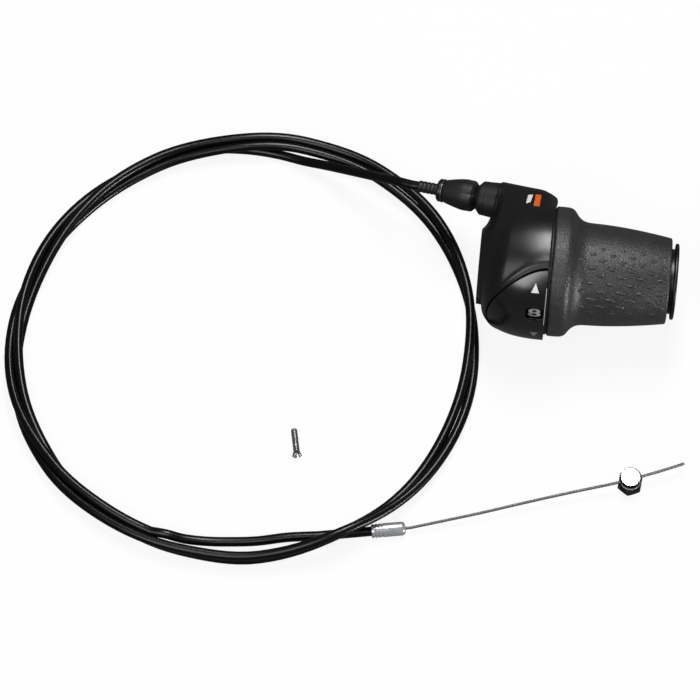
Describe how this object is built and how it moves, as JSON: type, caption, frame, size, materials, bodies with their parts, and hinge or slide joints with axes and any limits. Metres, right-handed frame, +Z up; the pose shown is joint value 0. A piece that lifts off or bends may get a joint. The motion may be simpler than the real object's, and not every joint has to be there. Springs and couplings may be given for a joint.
{
  "type": "twist-grip gear shifter",
  "caption": "Twist-grip shifter for a bicycle hub gear: domed body with a gear window, rubber grip, cable adjuster, coiled shift cable with ferrule, bare wire and fixing bolt.",
  "frame": {"origin": "on the handlebar's axis at the inboard face of the clamp", "axes": "+X along the handlebar to its free end, +Y away from the rider, +Z up"},
  "size_m": [0.2868, 0.1982, 0.0578],
  "materials": {
    "black_plastic": "satin",
    "gloss_black": "gloss",
    "clear_window": "gloss",
    "grip_rubber": "matte",
    "white_plastic": "satin",
    "steel": "satin",
    "black_steel": "satin",
    "brass": "satin",
    "bright_alloy": "satin",
    "housing": "satin"
  },
  "bodies": {
    "shifter": {"bracket": "black_plastic", "clamp_bolt": "steel", "clamp_nut": "brass", "main_shell": "black_plastic", "shell_screws": "steel", "indicator_cover": "gloss_black", "window_lens": "clear_window", "cable_port": "black_plastic", "wire_guide": "white_plastic", "detent_spring": "steel", "detent_roller": "steel", "detent_rivet": "brass", "end_ring": "gloss_black", "wire_run": "steel", "housing_lead": "housing", "housing_coil": "housing", "housing_tail": "housing", "housing_ferrule": "bright_alloy", "wire_end_cap": "bright_alloy"},
    "grip": {"grip_core": "black_plastic", "grip_rubber": "grip_rubber", "index_ring": "white_plastic", "cable_drum": "white_plastic", "number_ring": "black_plastic", "wire_nipple": "brass", "wire_wrap": "steel"},
    "adjuster_slide": {"housing_seat": "black_plastic", "adjuster_boot": "black_plastic"},
    "adjuster": {"adjuster_barrel": "black_plastic", "adjuster_stem": "brass", "adjuster_ring": "gloss_black"},
    "wire_end": {"inner_wire": "steel", "fixing_bolt": "steel", "fixing_washer": "steel", "fixing_nut": "black_steel"}
  },
  "joints": [
    {"name": "grip_twist", "type": "hinge", "parent": "shifter", "child": "grip", "pos_m": [0, 0, 0], "axis": [1, 0, 0], "range_deg": [-112, 0], "deforming": ["wire_wrap"]},
    {"name": "adjuster_travel", "type": "slide", "parent": "shifter", "child": "adjuster_slide", "axis": [-0.9675, 0.1916, -0.165], "range_m": [0, 0.0033], "deforming": ["housing_lead"]},
    {"name": "adjuster_turn", "type": "hinge", "parent": "adjuster_slide", "child": "adjuster", "pos_m": [0.002, 0.0277, 0.006], "axis": [-0.9675, 0.1916, -0.165], "range_deg": [0, 1440]},
    {"name": "wire_feed", "type": "slide", "parent": "shifter", "child": "wire_end", "axis": [0.9816, 0.1908, 0], "range_m": [0, 0.0334]}
  ],
  "couplings": [
    {"joint": "wire_feed", "follows": "grip_twist", "m_per_rad": -0.017},
    {"joint": "adjuster_travel", "follows": "adjuster_turn", "m_per_rad": 0.00012732}
  ]
}
